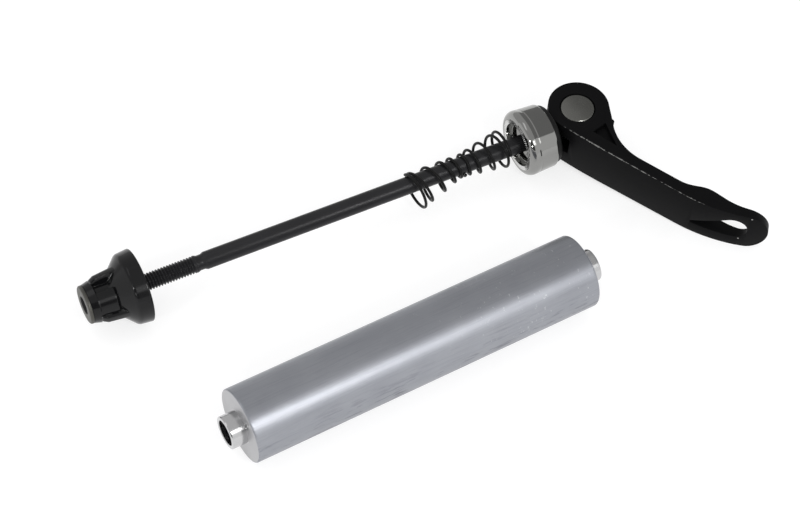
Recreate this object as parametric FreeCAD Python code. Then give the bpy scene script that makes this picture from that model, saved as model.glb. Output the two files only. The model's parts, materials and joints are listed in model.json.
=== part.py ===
import FreeCAD, Part
import math
import os
from FreeCAD import Placement, Rotation, Vector

# Axle adapter for a bicycle front hub, with the quick-release skewer that clamps it.
# All sizes are in millimetres. The part's origin is the middle of the sleeve's axis,
# +X runs along the sleeve and +Z is up.

# Sleeve: a 20 mm axle for a 100 mm fork, stepped down to 9 mm fork ends
HUB_D = 20.0
HUB_LEN = 100.0
SPIGOT_D = 8.9
SPIGOT_LEN = 4.2
SLEEVE_BORE_D = 6.8
HUB_CHAMFER = 0.35
SPIGOT_CHAMFER = 0.25

# Skewer rod: plain shank, waisted neck and rolled thread
SHANK_D = 4.8
THREAD_D = 4.7
THREAD_LEN = 26.2
THREAD_TIP_CHAMFER = 0.6
NECK_D = 4.1
NECK_LEN = 2.8
NECK_TAPER = 0.8
ROD_CLEARANCE = 0.2

# Clear length between the two clamping faces, which takes the fork and the sleeve
GRIP_LEN = 110.7

# Pivot pin that the rod screws into
PIN_D = 9.6
PIN_RECESS = 0.1
PIN_CHAMFER = 0.35
PIN_THREAD_DEPTH = 2.0
THREAD_FIT = 0.02

# Cam lever: eye, arm and paddle
LEVER_H = 14.0
PADDLE_H = 12.9
EYE_R = 8.4
CAM_LIFT = 1.2
ARM_LEN = 62.4
ARM_STRAIGHT = 38.0
ARM_BOW = 0.62
ARM_BEND_R = 46.5
ARM_T = 3.45
TIP_T = 2.0
TIP_SLOPE = 22.0
THROAT_R = 15.3
THROAT_START = 22.8
RIDGE_FOOT = 34.8
THUMB_RIDGE = 2.2
VALLEY_AT = 48.0
THUMB_VALLEY = 2.03
TIP_BACK = 6.6
RIDGE_AT = 42.6
NUB_R = 0.8
SLOT_W = 5.7
SLOT_MARGIN = 0.45
PIN_CLEARANCE = 0.1
POCKET_DEPTH = 1.6
POCKET_CORNERS = [(7.6, -4.6), (8.9, 0.0), (15.4, -4.9)]
TEAR_NOSE = (41.95, -2.7)
TEAR_NOSE_R = 0.5
TEAR_BELLY = (53.15, 0.45)
TEAR_BELLY_R = 3.45
LEVER_ANGLE = -60.0
LEVER_ROLL = 4.1

# Clamp cup and the cam washer seated in its back
CUP_D = 18.5
CUP_BACK_D = 17.8
CUP_W = 8.4
CUP_RING_D = 15.0
CUP_LIP_DEPTH = 1.9
CUP_BEAD_W = 3.0
CUP_CREASE = 0.15
CUP_BACK_BEVEL = 0.4
CUP_MOUTH_D = 12.2
CUP_MOUTH_DEPTH = 1.5
CUP_STEP_D = 10.6
CUP_STEP_DEPTH = 1.4
CUP_CONE_DEPTH = 1.2
CUP_HOLE_D = 8.0
CUP_POCKET_D = 16.4
CUP_POCKET_DEPTH = 3.0
CUP_TEETH = 72
TOOTH_DEPTH = 0.25
WASHER_PROUD = 1.7
WASHER_BEVEL = 0.5
WASHER_FIT = 0.02
CAM_GAP = 0.4
SEAT_R = 9.5
SEAT_DEPTH = 0.21

# Two conical springs that meet at their small ends
WIRE_D = 0.8
SPRING_TURN_RISES = [0.85, 4.6, 4.3, 3.0, 1.4]
SPRING_TURNS = 4.9
SPRING_SMALL_R = 2.94
SPRING_LARGE_R = 5.0
SPRING_CONE_START = 0.75
SPRING_CONE_END = 4.0
INNER_SPRING_TO_CUP = 4.3
INNER_SPRING_TURN = 160.0
INNER_SPRING_STRETCH = 0.917
INNER_SPRING_LEAN = 0.22
INNER_SPRING_LEAN_TURN = 35.0
OUTER_SPRING_TURN = 35.0
OUTER_SPRING_STRETCH = 1.0
OUTER_SPRING_LEAN = 1.0
OUTER_SPRING_LEAN_TURN = 215.0
SPRING_GAP = 0.12
POINTS_PER_TURN = 16

# Nut: moulded grip on a threaded metal insert
NUT_LEN = 15.7
NUT_FLANGE_D = 20.0
NUT_RIM_W = 3.3
NUT_RIM_TAPER = 0.3
NUT_RIM_EDGE = 0.4
NUT_TIP_D = 10.4
NUT_COLLAR_D = 11.4
NUT_COLLAR_W = 2.9
NUT_CORE_D = 9.4
NUT_CONE_W = 5.4
NUT_SHOULDER_W = 1.2
NUT_SHOULDER_D = 17.9
NUT_SHOULDER_BULGE = 0.16
NUT_FOOT_W = 0.8
NUT_FOOT_BULGE = 0.12
FIN_COUNT = 3
FIN_W = 2.2
FIN_D = 12.2
FIN_RISE_D = 13.6
FIN_ROOT_D = 15.2
FIN_RISE = 1.2
FIN_TURN = 66.0
PAD_END = 7.8
PAD_D = 11.1
PAD_END_D = 12.3
PAD_TURN = 41.5
PAD_SPAN = 72.0
INSERT_D = 7.0
INSERT_TIP_T = 0.9
INSERT_WASHER_D = 15.0
INSERT_WASHER_T = 1.2
INSERT_TEETH = 36
INSERT_CLEARANCE = 0.05
ROD_END_INSIDE = 5.0

# How the skewer lies beside the sleeve, given at the pin
PIN_X = 77.0
PIN_Y = 43.8
SKEWER_YAW = -3.65

# Derived places along the skewer, counted from the pin's axis towards the lever
EYE_OFFSET = CAM_LIFT / 2
REST_TURN = math.radians(90.0 + LEVER_ANGLE)
CAM_REACH = EYE_R - EYE_OFFSET * math.cos(REST_TURN)
SEAT_X = -CAM_REACH - CAM_GAP
CUP_BACK = SEAT_X + SEAT_DEPTH - WASHER_PROUD
CUP_FRONT = CUP_BACK - CUP_W
NUT_FACE = CUP_FRONT - GRIP_LEN
NUT_TIP = NUT_FACE - NUT_LEN
ROD_END = NUT_TIP + ROD_END_INSIDE
FACE_Q = EYE_OFFSET - EYE_R
TIP_CENTRE = ARM_LEN - TIP_BACK
INNER_SPRING_X = CUP_FRONT - INNER_SPRING_TO_CUP
SPRING_RISE = sum(SPRING_TURN_RISES[:-1]) + SPRING_TURN_RISES[-1] * (SPRING_TURNS % 1)
SPRINGS_MEET = INNER_SPRING_X - INNER_SPRING_STRETCH * SPRING_RISE
OUTER_SPRING_X = SPRINGS_MEET - WIRE_D - SPRING_GAP - OUTER_SPRING_STRETCH * SPRING_RISE
SKEWER_Z = (NUT_FLANGE_D - HUB_D) / 2

X_AXIS = Vector(1, 0, 0)
Z_AXIS = Vector(0, 0, 1)
ORIGIN = Vector(0, 0, 0)


# Revolve a closed outline of (x, radius) corners about the X axis
def turned(corners, angle=360.0):
    points = [Vector(x, 0, r) for x, r in corners]
    face = Part.Face(Part.makePolygon(points + [points[0]]))
    return face.revolve(ORIGIN, X_AXIS, angle)


def cylinder(radius, start, direction, length):
    return Part.makeCylinder(radius, length, start, direction)


# Copies of a solid turned about the X axis
def turned_copies(solid, count):
    copies = []
    for i in range(count):
        copy = solid.copy()
        copy.rotate(ORIGIN, X_AXIS, 360.0 * i / count)
        copies.append(copy)
    return copies


# Cut V-shaped radial teeth across a flat ring face; inward is 1 or -1, the way into the metal
def cut_teeth(solid, face_x, inward, r_in, r_out, count):
    start = 0.8 * r_in
    half = math.pi * start / count
    deep, proud = face_x + inward * TOOTH_DEPTH, face_x - inward * TOOTH_DEPTH
    corners = [Vector(deep, 0, start), Vector(proud, 2 * half, start), Vector(proud, -2 * half, start)]
    face = Part.Face(Part.makePolygon(corners + [corners[0]]))
    tooth = face.extrude(Z_AXIS * (r_out - start))
    return solid.cut(Part.makeCompound(turned_copies(tooth, count)))


def adapter_sleeve():
    half, end = HUB_LEN / 2, HUB_LEN / 2 + SPIGOT_LEN
    hub_r, spigot_r, bore_r = HUB_D / 2, SPIGOT_D / 2, SLEEVE_BORE_D / 2
    right = [
        (half - HUB_CHAMFER, hub_r),
        (half, hub_r - HUB_CHAMFER),
        (half, spigot_r),
        (end - SPIGOT_CHAMFER, spigot_r),
        (end, spigot_r - SPIGOT_CHAMFER),
        (end, bore_r),
    ]
    left = [(-x, r) for x, r in reversed(right)]
    return turned(right + left)


def skewer_rod():
    thread_end = ROD_END + THREAD_LEN
    neck_end = thread_end + NECK_LEN
    thread_r, neck_r, shank_r = THREAD_D / 2, NECK_D / 2, SHANK_D / 2
    return turned([
        (ROD_END, 0),
        (ROD_END, thread_r - THREAD_TIP_CHAMFER),
        (ROD_END + THREAD_TIP_CHAMFER, thread_r),
        (thread_end, thread_r),
        (thread_end + NECK_TAPER, neck_r),
        (neck_end - NECK_TAPER, neck_r),
        (neck_end, shank_r),
        (PIN_THREAD_DEPTH, shank_r),
        (PIN_THREAD_DEPTH, 0),
    ])


# The barrel lies along Z, and the rod's end sits in a blind tapped hole in its side
def pivot_pin():
    half = LEVER_H / 2 - PIN_RECESS
    barrel = cylinder(PIN_D / 2, Vector(0, 0, -half), Z_AXIS, 2 * half)
    rims = [e for e in barrel.Edges if isinstance(e.Curve, Part.Circle)]
    barrel = barrel.makeChamfer(PIN_CHAMFER, rims)
    barrel.rotate(ORIGIN, X_AXIS, LEVER_ROLL)
    hole = cylinder(SHANK_D / 2 + THREAD_FIT, Vector(-PIN_D, 0, 0), X_AXIS, PIN_D + PIN_THREAD_DEPTH)
    return barrel.cut(hole)


def arc(a, mid, b):
    return Part.Arc(Vector(*a, 0), Vector(*mid, 0), Vector(*b, 0)).toShape()


def line(a, b):
    return Part.LineSegment(Vector(*a, 0), Vector(*b, 0)).toShape()


# Fair curve through points, with its headings at both ends in degrees
def curve(points, first, last):
    headings = [Vector(*on_circle((0, 0), 1, turn), 0) for turn in (first, last)]
    spline = Part.BSplineCurve()
    spline.interpolate([Vector(*p, 0) for p in points], InitialTangent=headings[0], FinalTangent=headings[1])
    return spline.toShape()


def on_circle(centre, radius, degrees):
    turn = math.radians(degrees)
    return centre[0] + radius * math.cos(turn), centre[1] + radius * math.sin(turn)


# Lever seen along its pin, with the arm along X and the broad face, slightly bowed, towards -Y
def lever_plan():
    eye = (0, EYE_OFFSET)
    bowed_q = FACE_Q - ARM_BOW
    inner_q = bowed_q + ARM_T
    bend = (ARM_STRAIGHT, bowed_q + ARM_BEND_R)
    throat = (THROAT_START, inner_q + THROAT_R)
    bend_turn = math.degrees(math.asin((ARM_LEN - ARM_STRAIGHT) / ARM_BEND_R))
    tip_out = on_circle(bend, ARM_BEND_R, -90 + bend_turn)
    tip_in = on_circle(bend, ARM_BEND_R - TIP_T, -90 + bend_turn)
    throat_top = on_circle(throat, THROAT_R, 215)
    shoulder = on_circle(eye, EYE_R, 45)
    ridge_foot = (RIDGE_FOOT, inner_q)
    thumb_rest = [ridge_foot, (RIDGE_AT, inner_q + THUMB_RIDGE), (VALLEY_AT, inner_q + THUMB_VALLEY), tip_in]
    face = [(0, FACE_Q), (ARM_STRAIGHT / 2, FACE_Q - 0.95 * ARM_BOW), (ARM_STRAIGHT, bowed_q)]
    edges = [
        arc(shoulder, on_circle(eye, EYE_R, 157), (0, FACE_Q)),
        curve(face, -5.0, 0.0),
        arc((ARM_STRAIGHT, bowed_q), on_circle(bend, ARM_BEND_R, -90 + bend_turn / 2), tip_out),
        line(tip_out, tip_in),
        curve(thumb_rest, 0.0, TIP_SLOPE),
        line(ridge_foot, (THROAT_START, inner_q)),
        arc((THROAT_START, inner_q), on_circle(throat, THROAT_R, 243), throat_top),
        line(throat_top, shoulder),
    ]
    return Part.Face(Part.Wire(Part.__sortEdges__(edges)))


# Lever seen square to its broad face: it narrows from the eye to the paddle
def lever_side():
    eye_half, half, back = LEVER_H / 2, PADDLE_H / 2, -2 * EYE_R
    corners = [(back, eye_half), (EYE_R, eye_half), (TIP_CENTRE, half), (2 * ARM_LEN, half)]
    corners += [(x, -y) for x, y in reversed(corners)]
    points = [Vector(x, y, 0) for x, y in corners]
    return Part.Face(Part.makePolygon(points + [points[0]]))


# What the round tip leaves outside it, square to the paddle's slope at the tip's centre
def tip_waste():
    half = PADDLE_H / 2
    waste = Part.makeBox(LEVER_H, 2 * LEVER_H, 2 * LEVER_H, Vector(0, -LEVER_H, -LEVER_H))
    waste = waste.cut(cylinder(half, Vector(0, -LEVER_H, 0), Vector(0, 1, 0), 2 * LEVER_H))
    slope = math.asin((TIP_CENTRE - ARM_STRAIGHT) / ARM_BEND_R)
    waste.rotate(ORIGIN, Z_AXIS, math.degrees(slope))
    waste.translate(Vector(TIP_CENTRE, FACE_Q - ARM_BOW + ARM_BEND_R * (1 - math.cos(slope)), 0))
    return waste


# Teardrop through the paddle: a small circle and a large one joined by their tangents
def teardrop():
    gap = Vector(*TEAR_BELLY, 0) - Vector(*TEAR_NOSE, 0)
    heading = math.degrees(math.atan2(gap.y, gap.x))
    spread = math.degrees(math.acos((TEAR_NOSE_R - TEAR_BELLY_R) / gap.Length))
    nose = [on_circle(TEAR_NOSE, TEAR_NOSE_R, heading + s * spread) for s in (1, -1)]
    belly = [on_circle(TEAR_BELLY, TEAR_BELLY_R, heading + s * spread) for s in (1, -1)]
    edges = [
        arc(nose[0], on_circle(TEAR_NOSE, TEAR_NOSE_R, heading + 180), nose[1]),
        line(nose[1], belly[1]),
        arc(belly[1], on_circle(TEAR_BELLY, TEAR_BELLY_R, heading), belly[0]),
        line(belly[0], nose[0]),
    ]
    return Part.Face(Part.Wire(edges))


# Turn a shape drawn in the side view's plane upright, so that its depth lies along Y
def stood_up(face, depth):
    solid = face.extrude(Z_AXIS * depth)
    solid.translate(Vector(0, 0, -depth / 2))
    solid.rotate(ORIGIN, X_AXIS, 90)
    return solid


def cheek_pocket():
    corners = [Vector(p, q, LEVER_H / 2 - POCKET_DEPTH) for p, q in POCKET_CORNERS]
    face = Part.Face(Part.makePolygon(corners + [corners[0]]))
    return face.extrude(Z_AXIS * 2 * POCKET_DEPTH)


def lever_throat_nub():
    throat = (THROAT_START, FACE_Q - ARM_BOW + ARM_T + THROAT_R)
    corner = on_circle(throat, THROAT_R + NUB_R / 2, 215)
    return cylinder(NUB_R, Vector(*corner, -LEVER_H / 2), Z_AXIS, LEVER_H)


def lever():
    depth = 4 * EYE_R + ARM_LEN
    body = lever_plan().extrude(Z_AXIS * LEVER_H)
    body.translate(Vector(0, 0, -LEVER_H / 2))
    body = body.common(stood_up(lever_side(), depth))
    body = body.fuse(lever_throat_nub()).removeSplitter()
    bore = cylinder(PIN_D / 2 + PIN_CLEARANCE, Vector(0, 0, -LEVER_H), Z_AXIS, 2 * LEVER_H)
    slot_end = SHANK_D / 2 + SLOT_MARGIN
    slot = Part.makeBox(2 * EYE_R + slot_end, 4 * EYE_R, SLOT_W)
    slot.translate(Vector(-2 * EYE_R, -2 * EYE_R, -SLOT_W / 2))
    pocket = cheek_pocket()
    low_pocket = pocket.mirror(ORIGIN, Z_AXIS)
    tools = [bore, slot, pocket, low_pocket, stood_up(teardrop(), depth), tip_waste()]
    body = body.cut(Part.makeCompound(tools))
    body.rotate(ORIGIN, Z_AXIS, LEVER_ANGLE)
    body.rotate(ORIGIN, X_AXIS, LEVER_ROLL)
    return body


# Steel cup: toothed mouth, rounded bead, plain barrel, and a stepped hole to a pocket behind
def clamp_cup():
    cup_r, ring_r, back_r = CUP_D / 2, CUP_RING_D / 2, CUP_BACK_D / 2
    step_end = CUP_MOUTH_DEPTH + CUP_STEP_DEPTH
    turn = math.radians(45)
    lip_depth, lip_rise = CUP_LIP_DEPTH, cup_r - ring_r
    lip_mid = (lip_depth * (1 - math.cos(turn)), ring_r + lip_rise * math.sin(turn))
    front = [(0, CUP_MOUTH_D / 2), (0, ring_r)]
    behind = [
        (lip_depth, cup_r),
        (CUP_BEAD_W, cup_r),
        (CUP_BEAD_W + CUP_CREASE, cup_r - CUP_CREASE),
        (CUP_W - CUP_BACK_BEVEL, back_r),
        (CUP_W, back_r - CUP_BACK_BEVEL),
        (CUP_W, CUP_POCKET_D / 2),
        (CUP_W - CUP_POCKET_DEPTH, CUP_POCKET_D / 2),
        (CUP_W - CUP_POCKET_DEPTH, CUP_HOLE_D / 2),
        (step_end + CUP_CONE_DEPTH, CUP_HOLE_D / 2),
        (step_end, CUP_STEP_D / 2),
        (CUP_MOUTH_DEPTH, CUP_STEP_D / 2),
        (CUP_MOUTH_DEPTH, CUP_MOUTH_D / 2),
        front[0],
    ]
    edges = [line(front[0], front[1]), arc(front[1], lip_mid, behind[0])]
    edges += [line(a, b) for a, b in zip(behind, behind[1:])]
    cup = Part.Face(Part.Wire(edges)).revolve(ORIGIN, X_AXIS, 360)
    cup = cut_teeth(cup, 0, 1, CUP_MOUTH_D / 2, ring_r - TOOTH_DEPTH, CUP_TEETH)
    cup.translate(Vector(CUP_FRONT, 0, 0))
    return cup


# Plastic washer that fills the cup's pocket and hole, with a hollow seat for the eye
def cam_washer():
    pocket_r = CUP_POCKET_D / 2 - WASHER_FIT
    hub_r = CUP_HOLE_D / 2 - WASHER_FIT
    bore_r = SHANK_D / 2 + ROD_CLEARANCE
    floor = CUP_BACK - CUP_POCKET_DEPTH
    rim = CUP_BACK + WASHER_PROUD
    hub_start = CUP_FRONT + CUP_MOUTH_DEPTH + CUP_STEP_DEPTH + CUP_CONE_DEPTH
    washer = turned([
        (hub_start, bore_r),
        (hub_start, hub_r),
        (floor, hub_r),
        (floor, pocket_r),
        (rim - WASHER_BEVEL, pocket_r),
        (rim, pocket_r - WASHER_BEVEL),
        (rim, bore_r),
    ])
    seat = cylinder(SEAT_R, Vector(SEAT_X + SEAT_R, 0, -CUP_D), Z_AXIS, 2 * CUP_D)
    seat.rotate(ORIGIN, X_AXIS, LEVER_ROLL)
    return washer.cut(seat)


# How far the wire has advanced along the rod, t turns from its large end
def spring_rise(t):
    whole = min(int(t), len(SPRING_TURN_RISES) - 1)
    return sum(SPRING_TURN_RISES[:whole]) + SPRING_TURN_RISES[whole] * (t - whole)


def spring_radius(t):
    share = (SPRING_CONE_END - t) / (SPRING_CONE_END - SPRING_CONE_START)
    return SPRING_SMALL_R + (SPRING_LARGE_R - SPRING_SMALL_R) * max(0.0, min(1.0, share))


# Right-hand spring laid from its large end, which leans off the rod's axis;
# along is the way it narrows, 1 or -1 along X
def spring(large_x, large_turn, along, stretch, lean, lean_turn):
    lean_dir = Vector(0, *on_circle((0, 0), 1.0, lean_turn))
    slope = along * lean * (SPRING_LARGE_R - SPRING_SMALL_R) / spring_rise(SPRING_CONE_END)
    count = int(SPRING_TURNS * POINTS_PER_TURN)
    points = []
    for i in range(count + 1):
        t = SPRING_TURNS * i / count
        radius = spring_radius(t)
        spoke = Vector(0, *on_circle((0, 0), radius, large_turn + along * 360.0 * t))
        x = large_x + along * stretch * spring_rise(t) + slope * spoke.dot(lean_dir)
        points.append(Vector(x, 0, 0) + spoke + lean_dir * lean * (radius - SPRING_SMALL_R))
    section = Part.Wire(Part.makeCircle(WIRE_D / 2, points[0], points[1] - points[0]))
    return Part.makePolygon(points).makePipeShell([section], True, False, 1)


def inner_spring():
    return spring(INNER_SPRING_X, INNER_SPRING_TURN, -1, INNER_SPRING_STRETCH, INNER_SPRING_LEAN,
                  INNER_SPRING_LEAN_TURN)


def outer_spring():
    return spring(OUTER_SPRING_X, OUTER_SPRING_TURN, 1, OUTER_SPRING_STRETCH, OUTER_SPRING_LEAN,
                  OUTER_SPRING_LEAN_TURN)


# Threaded metal bush: a ring at the tip, a tube, and a toothed clamping washer
def nut_insert():
    bore_r = THREAD_D / 2 + INSERT_CLEARANCE
    tube_r, tip_r, washer_r = INSERT_D / 2, NUT_TIP_D / 2, INSERT_WASHER_D / 2
    edge = INSERT_TIP_T / 3
    insert = turned([
        (0, bore_r),
        (0, tip_r - edge),
        (edge, tip_r),
        (INSERT_TIP_T, tip_r),
        (INSERT_TIP_T, tube_r),
        (NUT_LEN - INSERT_WASHER_T, tube_r),
        (NUT_LEN - INSERT_WASHER_T, washer_r),
        (NUT_LEN, washer_r),
        (NUT_LEN, bore_r),
    ])
    insert = cut_teeth(insert, NUT_LEN, -1, 0.6 * washer_r, washer_r - TOOTH_DEPTH, INSERT_TEETH)
    insert.translate(Vector(NUT_TIP, 0, 0))
    return insert


def bulged(a, b, bulge):
    run, rise = b[0] - a[0], b[1] - a[1]
    share = bulge / math.hypot(run, rise)
    return (a[0] + b[0]) / 2 - share * rise, (a[1] + b[1]) / 2 + share * run


# Half section of the grip's round core: collar, waist, cone with a soft foot and shoulder, rim, bush's seat
def nut_core():
    gap = INSERT_CLEARANCE
    start, seat = INSERT_TIP_T + gap, NUT_LEN - INSERT_WASHER_T - gap
    tube_r, washer_r = INSERT_D / 2 + gap, INSERT_WASHER_D / 2 + gap
    rim_start, rim_r, waist_r = NUT_LEN - NUT_RIM_W, NUT_FLANGE_D / 2, NUT_CORE_D / 2
    cone_foot = (rim_start - NUT_CONE_W, waist_r)
    cone_top = (rim_start - NUT_SHOULDER_W, NUT_SHOULDER_D / 2)
    cone_slope = (cone_top[1] - cone_foot[1]) / (cone_top[0] - cone_foot[0])
    foot_start = (cone_foot[0] - NUT_FOOT_W, waist_r)
    foot_end = (cone_foot[0] + NUT_FOOT_W / 2, waist_r + cone_slope * NUT_FOOT_W / 2)
    rim_edge = (rim_start, rim_r - NUT_RIM_TAPER)
    collar = [(start, NUT_TIP_D / 2), (NUT_COLLAR_W, NUT_COLLAR_D / 2), (NUT_COLLAR_W + NUT_RIM_EDGE, waist_r)]
    rim = [
        rim_edge,
        (NUT_LEN - NUT_RIM_EDGE, rim_r),
        (NUT_LEN, rim_r - NUT_RIM_EDGE),
        (NUT_LEN, washer_r),
        (seat, washer_r),
        (seat, tube_r),
        (start, tube_r),
        (start, NUT_TIP_D / 2),
    ]
    before = collar + [foot_start]
    edges = [line(a, b) for a, b in zip(before, before[1:])]
    edges.append(arc(foot_start, bulged(foot_start, foot_end, -NUT_FOOT_BULGE), foot_end))
    edges.append(line(foot_end, cone_top))
    edges.append(arc(cone_top, bulged(cone_top, rim_edge, NUT_SHOULDER_BULGE), rim_edge))
    edges += [line(a, b) for a, b in zip(rim, rim[1:])]
    section = Part.Face(Part.Wire(edges))
    return section.revolve(ORIGIN, X_AXIS, 360)


# One raised fin, which climbs from the collar and runs out on the cone
def nut_fin():
    start, end = NUT_COLLAR_W - NUT_RIM_EDGE, NUT_LEN - NUT_RIM_W - NUT_SHOULDER_W
    inner_r = INSERT_D / 2 + INSERT_CLEARANCE
    envelope = turned([
        (start, inner_r),
        (start, NUT_COLLAR_D / 2 - NUT_RIM_EDGE),
        (start + NUT_RIM_EDGE, FIN_D / 2),
        (start + NUT_RIM_EDGE + FIN_RISE, FIN_RISE_D / 2),
        (end, FIN_ROOT_D / 2),
        (end, inner_r),
    ])
    slab = Part.makeBox(NUT_LEN, FIN_W, NUT_FLANGE_D, Vector(0, -FIN_W / 2, 0))
    fin = envelope.common(slab)
    fin.rotate(ORIGIN, X_AXIS, FIN_TURN - 90)
    return fin


# One low thumb pad, which runs up against the next fin
def nut_pad():
    inner_r = INSERT_D / 2 + INSERT_CLEARANCE
    start = NUT_COLLAR_W - NUT_RIM_EDGE
    pad = turned([(start, inner_r), (start, PAD_D / 2), (PAD_END, PAD_END_D / 2), (PAD_END, inner_r)], PAD_SPAN)
    pad.rotate(ORIGIN, X_AXIS, FIN_TURN + PAD_TURN - 90)
    return pad


def nut_body():
    pieces = turned_copies(nut_fin(), FIN_COUNT) + turned_copies(nut_pad(), FIN_COUNT)
    body = nut_core().fuse(pieces).removeSplitter()
    body.translate(Vector(NUT_TIP, 0, 0))
    return body


# Lay a piece of the skewer down beside the sleeve
def laid(shape):
    place = Placement(Vector(PIN_X, PIN_Y, SKEWER_Z), Rotation(Z_AXIS, SKEWER_YAW))
    moved = shape.copy()
    moved.Placement = place.multiply(moved.Placement)
    return moved


def main():
    nodes = {"adapter_sleeve": adapter_sleeve()}
    skewer = [
        skewer_rod,
        pivot_pin,
        lever,
        clamp_cup,
        cam_washer,
        inner_spring,
        outer_spring,
        nut_insert,
        nut_body,
    ]
    for make in skewer:
        nodes[make.__name__] = laid(make())
    os.makedirs("parts", exist_ok=True)
    for name, shape in nodes.items():
        box = shape.BoundBox
        print(name, "solids", len(shape.Solids), "valid", shape.isValid(), "volume", round(shape.Volume, 2),
              "z", round(box.ZMin, 2), round(box.ZMax, 2))
        shape.exportStep(f"parts/{name}.step")


main()
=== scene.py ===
from collections import namedtuple
import bmesh
import bpy
import json
import math
import numpy as np
from mathutils import Matrix, Vector

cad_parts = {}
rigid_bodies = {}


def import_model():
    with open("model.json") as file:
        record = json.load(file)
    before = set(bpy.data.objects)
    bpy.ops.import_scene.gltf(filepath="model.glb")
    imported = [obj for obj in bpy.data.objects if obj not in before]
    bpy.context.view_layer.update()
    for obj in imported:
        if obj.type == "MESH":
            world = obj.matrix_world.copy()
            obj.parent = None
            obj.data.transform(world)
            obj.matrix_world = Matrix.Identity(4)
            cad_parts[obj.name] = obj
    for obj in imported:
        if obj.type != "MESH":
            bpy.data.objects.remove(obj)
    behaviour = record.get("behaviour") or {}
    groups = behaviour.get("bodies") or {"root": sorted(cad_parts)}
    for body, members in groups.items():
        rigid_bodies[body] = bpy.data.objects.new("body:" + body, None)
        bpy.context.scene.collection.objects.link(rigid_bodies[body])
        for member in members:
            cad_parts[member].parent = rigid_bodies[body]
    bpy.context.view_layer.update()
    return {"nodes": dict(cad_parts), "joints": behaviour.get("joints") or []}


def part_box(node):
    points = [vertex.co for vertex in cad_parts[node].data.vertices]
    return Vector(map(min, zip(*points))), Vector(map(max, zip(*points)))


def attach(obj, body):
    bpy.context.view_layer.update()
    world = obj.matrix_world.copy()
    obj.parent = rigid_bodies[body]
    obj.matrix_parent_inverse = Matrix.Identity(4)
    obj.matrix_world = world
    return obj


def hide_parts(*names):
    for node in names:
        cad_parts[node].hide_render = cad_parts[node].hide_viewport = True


# Looks of the axle adapter and its quick-release skewer, lying side by side on a white table.
# Sizes below are in millimetres and the frame is in metres.
MM = 0.001

# Camera, as the photograph was taken
CAMERA_AT = Vector((-192.8, -304.6, 488.0))
CAMERA_LOOKS_AT = Vector((14.43, 31.46, -10.0))
CAMERA_ROLL = 1.765
CAMERA_LENS = 107.26
CAMERA_SENSOR = 36.0
CAMERA_REACH = (10.0, 20000.0)

# White table, and the plain light of the room
FLOOR_Z = -10.0
TABLE_HALF = 1500.0
TABLE_COLOUR = (0.85, 0.85, 0.85)
TABLE_SEEN_COLOUR = (0.36, 0.36, 0.363)
TABLE_SEEN_GLOW = 0.70
ROOM_LIGHT = 0.8

# Lamps: place, what each one points at, size and watts
Lamp = namedtuple("Lamp", "at aim size watts")
LAMPS = {
    "strip light in front": Lamp((45, -560, 500), (45, 0, 5), (600, 250), 0.7),
    "small lamp in front": Lamp((50, -560, 510), (-40, 0, 5), (100, 120), 0.95),
    "small lamp at the left": Lamp((-700, -250, 390), (-60, 40, 0), (60, 60), 0.8),
    "low lamp at the left": Lamp((-600, -520, 300), (-60, 40, 0), (60, 60), 0.7),
    "softbox over the table": Lamp((-250, 250, 880), (0, 20, 0), (500, 500), 0.6),
}

# Grey board over and behind the table, seen only in reflections, darker towards its right
BOARD_X = (-1600.0, 1900.0)
BOARD_FRONT = -750.0
BOARD_BACK = 1500.0
BOARD_Z = 900.0
BOARD_MID = 50.0
BOARD_CURVE = 0.00016
BOARD_FADE = (432.0, 462.0)
BOARD_GLOW = (0.66, 0.34)

# Dark screen behind the camera, seen only in reflections
SCREEN_X = (-1500.0, -90.0)
SCREEN_ROWS = ((-620.0, 150.0), (-620.0, 760.0))
SCREEN_GLOW = 0.12

# Sleeve: hub, stubs and bore; an edge is steps back from its end and inwards from its radius
HUB_R = 9.995
SHOULDER_X = 50.0
HUB_EDGE = ((0.6, 0.0), (0.35, 0.0), (0.1, 0.12), (0.0, 0.35))
STUB_R = 4.45
STUB_FOOT = ((0.0, -0.25), (-0.08, 0.0), (-0.3, 0.0))
STUB_EDGE = ((0.5, 0.0), (0.25, 0.0), (0.06, 0.1), (0.0, 0.25))
SLEEVE_BORE_R = 3.4
SLEEVE_BORE_EDGE = 0.12
SLEEVE_SEGMENTS = 160

# Angle in degrees past which an edge of a piece stays sharp
SHARP_ANGLE = 30.0
ROD_SHARP_ANGLE = 50.0
SPRING_SHARP_ANGLE = 50.0
NUT_SHARP_ANGLE = 60.0
EASED_SHARP_ANGLE = 40.0

# Rod: rolled thread, neck and shank
THREAD_PITCH = 0.8
THREAD_CREST_R = 2.35
THREAD_ROOT_R = 1.95
THREAD_LEN = 26.2
THREAD_RUNOUT = 1.2
THREAD_FIRST_SHARE = 0.35
THREAD_END_EDGE = (0.05, 0.25)
RIDGE_STEEPNESS = 1.35
RIDGE_FLAT = 0.15
NECK_R = 2.05
NECK_LEN = 2.8
NECK_TAPER = 0.8
SHANK_R = 2.4
SHANK_EDGE = (0.15, 0.06)
ROWS_PER_PITCH = 12
ROD_SEGMENTS = 48

# Springs: wire of the coned springs, from their large ends
WIRE_D = 0.8
WIRE_SIDES = 14
TURN_RISES = (0.85, 4.6, 4.3, 3.0, 1.4)
SPRING_TURNS = 4.9
SPRING_SMALL_R = 2.94
SPRING_LARGE_R = 5.0
SPRING_CONE_START = 0.75
SPRING_CONE_END = 4.0
POINTS_PER_TURN = 48
INNER_SPRING = {"x": -22.47, "turn": 160.0, "along": -1, "stretch": 0.917, "lean": 0.22, "lean_turn": 35.0}
OUTER_SPRING = {"x": -50.248, "turn": 35.0, "along": 1, "stretch": 1.0, "lean": 1.0, "lean_turn": 215.0}

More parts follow.
